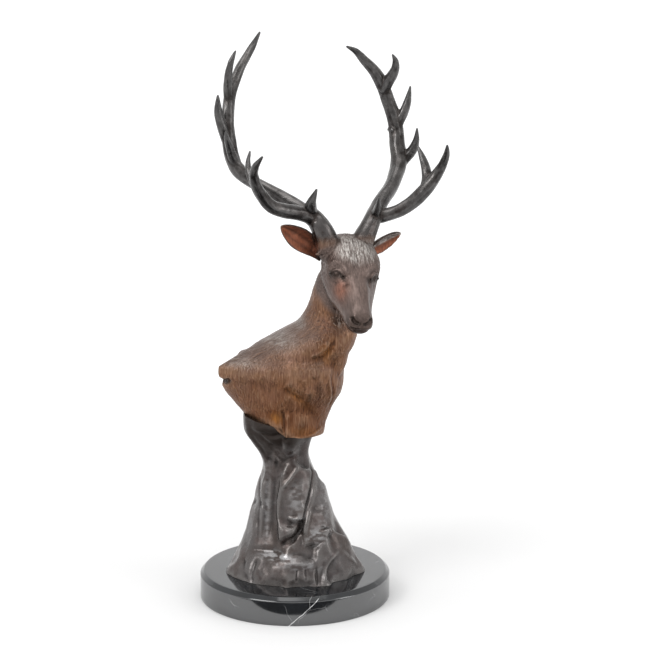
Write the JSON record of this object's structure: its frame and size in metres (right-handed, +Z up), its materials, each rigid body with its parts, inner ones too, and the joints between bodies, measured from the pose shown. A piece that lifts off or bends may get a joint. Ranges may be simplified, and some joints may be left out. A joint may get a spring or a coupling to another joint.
{
  "type": "stag head sculpture",
  "caption": "Bronze bust of a stag with branching antlers, head turned and lowered, seated on a tall bronze rock on a round polished black marble base.",
  "frame": {"origin": "centre of the marble base's underside, on the surface it stands on", "axes": "+Z up, -Y towards the viewer of the picture, +X to that viewer's right"},
  "size_m": [0.3099, 0.24, 0.7052],
  "materials": {
    "black_marble": "polished black marble with pale veins",
    "dark_bronze": "cast bronze, dark brown patina, waxed",
    "brown_bronze": "cast bronze, warm brown patina on the body, dark antlers, rubbed highlights"
  },
  "bodies": {
    "root": {"marble_base": "black_marble", "rock": "dark_bronze", "stag_bust": "brown_bronze"}
  },
  "joints": []
}
